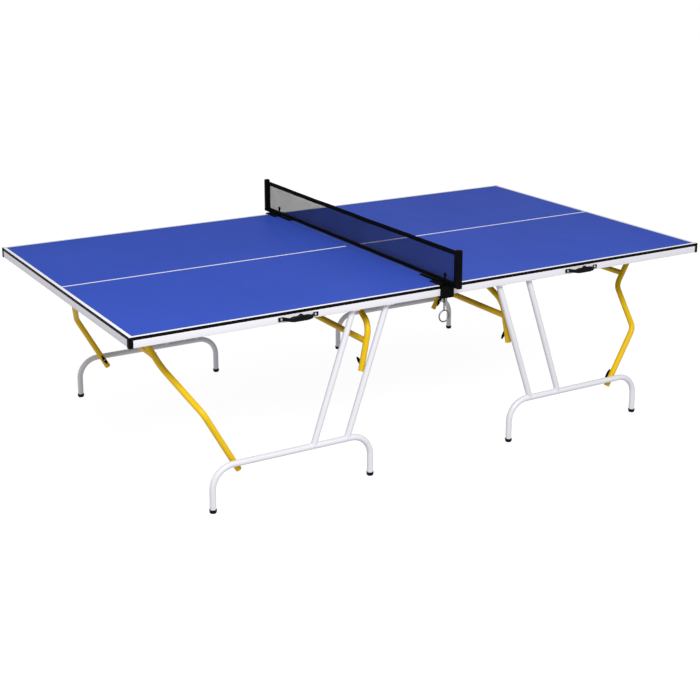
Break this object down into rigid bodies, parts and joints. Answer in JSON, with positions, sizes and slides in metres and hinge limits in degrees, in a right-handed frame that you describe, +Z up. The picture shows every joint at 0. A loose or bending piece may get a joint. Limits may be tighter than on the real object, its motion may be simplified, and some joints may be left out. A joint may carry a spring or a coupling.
{
  "type": "table tennis table",
  "caption": "Two-half table tennis table with folding tubular leg frames, pivoting braces with clamping knobs, carry handles and a clamp-on net on posts.",
  "frame": {"origin": "on the floor, under the middle of the playing surface", "axes": "+X along the length of the table, +Y across it to the far side, +Z up"},
  "size_m": [2.7446, 1.686, 0.92],
  "materials": {
    "playing_surface": "blue matt lacquer with white lines",
    "white_steel": "white powder coat",
    "yellow_steel": "yellow powder coat",
    "black_plastic": "moulded, matt",
    "black_rubber": "moulded rubber",
    "zinc_steel": "zinc plated",
    "net_cloth": "knotless mesh with woven tapes"
  },
  "bodies": {
    "left_half": {"left_board": "playing_surface", "left_frame": "white_steel", "left_near_outer_bearing": "black_plastic", "left_far_outer_bearing": "black_plastic", "left_near_inner_bearing": "black_plastic", "left_far_inner_bearing": "black_plastic", "left_near_corner_cap": "black_plastic", "left_near_handle": "black_rubber", "left_near_inner_leg_hinge": "white_steel", "left_near_outer_leg_hinge": "white_steel", "left_far_corner_cap": "black_plastic", "left_far_handle": "black_rubber", "left_far_inner_leg_hinge": "white_steel", "left_far_outer_leg_hinge": "white_steel", "net": "net_cloth", "near_clamp": "black_plastic", "near_post": "black_plastic", "far_clamp": "black_plastic", "far_post": "black_plastic"},
    "right_half": {"right_board": "playing_surface", "right_frame": "white_steel", "right_near_outer_bearing": "black_plastic", "right_far_outer_bearing": "black_plastic", "right_near_inner_bearing": "black_plastic", "right_far_inner_bearing": "black_plastic", "right_near_corner_cap": "black_plastic", "right_near_handle": "black_rubber", "right_near_inner_leg_hinge": "white_steel", "right_near_outer_leg_hinge": "white_steel", "right_far_corner_cap": "black_plastic", "right_far_handle": "black_rubber", "right_far_inner_leg_hinge": "white_steel", "right_far_outer_leg_hinge": "white_steel"},
    "left_outer_brace": {"left_outer_brace": "yellow_steel"},
    "left_near_outer_knob": {"left_near_outer_knob": "black_plastic"},
    "left_far_outer_knob": {"left_far_outer_knob": "black_plastic"},
    "left_inner_brace": {"left_inner_brace": "yellow_steel"},
    "left_near_inner_knob": {"left_near_inner_knob": "black_plastic"},
    "left_far_inner_knob": {"left_far_inner_knob": "black_plastic"},
    "left_near_leg": {"left_near_leg": "white_steel", "left_near_inner_foot": "black_rubber", "left_near_outer_foot": "black_rubber"},
    "left_far_leg": {"left_far_leg": "white_steel", "left_far_inner_foot": "black_rubber", "left_far_outer_foot": "black_rubber"},
    "right_outer_brace": {"right_outer_brace": "yellow_steel"},
    "right_near_outer_knob": {"right_near_outer_knob": "black_plastic"},
    "right_far_outer_knob": {"right_far_outer_knob": "black_plastic"},
    "right_inner_brace": {"right_inner_brace": "yellow_steel"},
    "right_near_inner_knob": {"right_near_inner_knob": "black_plastic"},
    "right_far_inner_knob": {"right_far_inner_knob": "black_plastic"},
    "right_near_leg": {"right_near_leg": "white_steel", "right_near_inner_foot": "black_rubber", "right_near_outer_foot": "black_rubber"},
    "right_far_leg": {"right_far_leg": "white_steel", "right_far_inner_foot": "black_rubber", "right_far_outer_foot": "black_rubber"},
    "near_clamp_screw": {"near_clamp_screw": "zinc_steel"},
    "far_clamp_screw": {"far_clamp_screw": "zinc_steel"}
  },
  "joints": [
    {"name": "halves_part", "type": "slide", "parent": "left_half", "child": "right_half", "axis": [1, 0, 0], "range_m": [0, 0.3]},
    {"name": "left_outer_brace_fold", "type": "hinge", "parent": "left_half", "child": "left_outer_brace", "pos_m": [-1.255, 0, 0.7315], "axis": [0, -1, 0], "range_deg": [0, 60.75]},
    {"name": "left_inner_brace_fold", "type": "hinge", "parent": "left_half", "child": "left_inner_brace", "pos_m": [-0.31, 0, 0.7315], "axis": [0, -1, 0], "range_deg": [0, 94.9]},
    {"name": "left_near_leg_fold", "type": "hinge", "parent": "left_half", "child": "left_near_leg", "pos_m": [-0.275, -0.717, 0.711], "axis": [1, 0, 0], "range_deg": [0, 90]},
    {"name": "left_far_leg_fold", "type": "hinge", "parent": "left_half", "child": "left_far_leg", "pos_m": [-0.275, 0.717, 0.711], "axis": [-1, 0, 0], "range_deg": [0, 90]},
    {"name": "left_near_outer_knob_turn", "type": "hinge", "parent": "left_outer_brace", "child": "left_near_outer_knob", "pos_m": [-0.94669, -0.6872, 0.18095], "axis": [0, -1, 0], "continuous": true},
    {"name": "left_far_outer_knob_turn", "type": "hinge", "parent": "left_outer_brace", "child": "left_far_outer_knob", "pos_m": [-0.94669, 0.6872, 0.18095], "axis": [0, 1, 0], "continuous": true},
    {"name": "left_near_inner_knob_turn", "type": "hinge", "parent": "left_inner_brace", "child": "left_near_inner_knob", "pos_m": [-0.36084, -0.6772, 0.46806], "axis": [0, -1, 0], "continuous": true},
    {"name": "left_far_inner_knob_turn", "type": "hinge", "parent": "left_inner_brace", "child": "left_far_inner_knob", "pos_m": [-0.36084, 0.6772, 0.46806], "axis": [0, 1, 0], "continuous": true},
    {"name": "right_outer_brace_fold", "type": "hinge", "parent": "right_half", "child": "right_outer_brace", "pos_m": [1.255, 0, 0.7315], "axis": [0, 1, 0], "range_deg": [0, 60.75]},
    {"name": "right_inner_brace_fold", "type": "hinge", "parent": "right_half", "child": "right_inner_brace", "pos_m": [0.31, 0, 0.7315], "axis": [0, 1, 0], "range_deg": [0, 94.9]},
    {"name": "right_near_leg_fold", "type": "hinge", "parent": "right_half", "child": "right_near_leg", "pos_m": [0.275, -0.717, 0.711], "axis": [1, 0, 0], "range_deg": [0, 90]},
    {"name": "right_far_leg_fold", "type": "hinge", "parent": "right_half", "child": "right_far_leg", "pos_m": [0.275, 0.717, 0.711], "axis": [-1, 0, 0], "range_deg": [0, 90]},
    {"name": "right_near_outer_knob_turn", "type": "hinge", "parent": "right_outer_brace", "child": "right_near_outer_knob", "pos_m": [0.94669, -0.6872, 0.18095], "axis": [0, -1, 0], "continuous": true},
    {"name": "right_far_outer_knob_turn", "type": "hinge", "parent": "right_outer_brace", "child": "right_far_outer_knob", "pos_m": [0.94669, 0.6872, 0.18095], "axis": [0, 1, 0], "continuous": true},
    {"name": "right_near_inner_knob_turn", "type": "hinge", "parent": "right_inner_brace", "child": "right_near_inner_knob", "pos_m": [0.36084, -0.6772, 0.46806], "axis": [0, -1, 0], "continuous": true},
    {"name": "right_far_inner_knob_turn", "type": "hinge", "parent": "right_inner_brace", "child": "right_far_inner_knob", "pos_m": [0.36084, 0.6772, 0.46806], "axis": [0, 1, 0], "continuous": true},
    {"name": "near_screw_turn", "type": "hinge", "parent": "left_half", "child": "near_clamp_screw", "pos_m": [-0.01, -0.75, 0.6265], "axis": [0, 0, 1], "continuous": true},
    {"name": "far_screw_turn", "type": "hinge", "parent": "left_half", "child": "far_clamp_screw", "pos_m": [-0.01, 0.75, 0.6265], "axis": [0, 0, 1], "continuous": true}
  ],
  "couplings": [
    {"joint": "left_inner_brace_fold", "follows": "left_outer_brace_fold", "ratio": 1.562},
    {"joint": "left_near_leg_fold", "follows": "left_outer_brace_fold", "ratio": 1.4814},
    {"joint": "left_far_leg_fold", "follows": "left_outer_brace_fold", "ratio": 1.4814},
    {"joint": "right_inner_brace_fold", "follows": "right_outer_brace_fold", "ratio": 1.562},
    {"joint": "right_near_leg_fold", "follows": "right_outer_brace_fold", "ratio": 1.4814},
    {"joint": "right_far_leg_fold", "follows": "right_outer_brace_fold", "ratio": 1.4814}
  ]
}
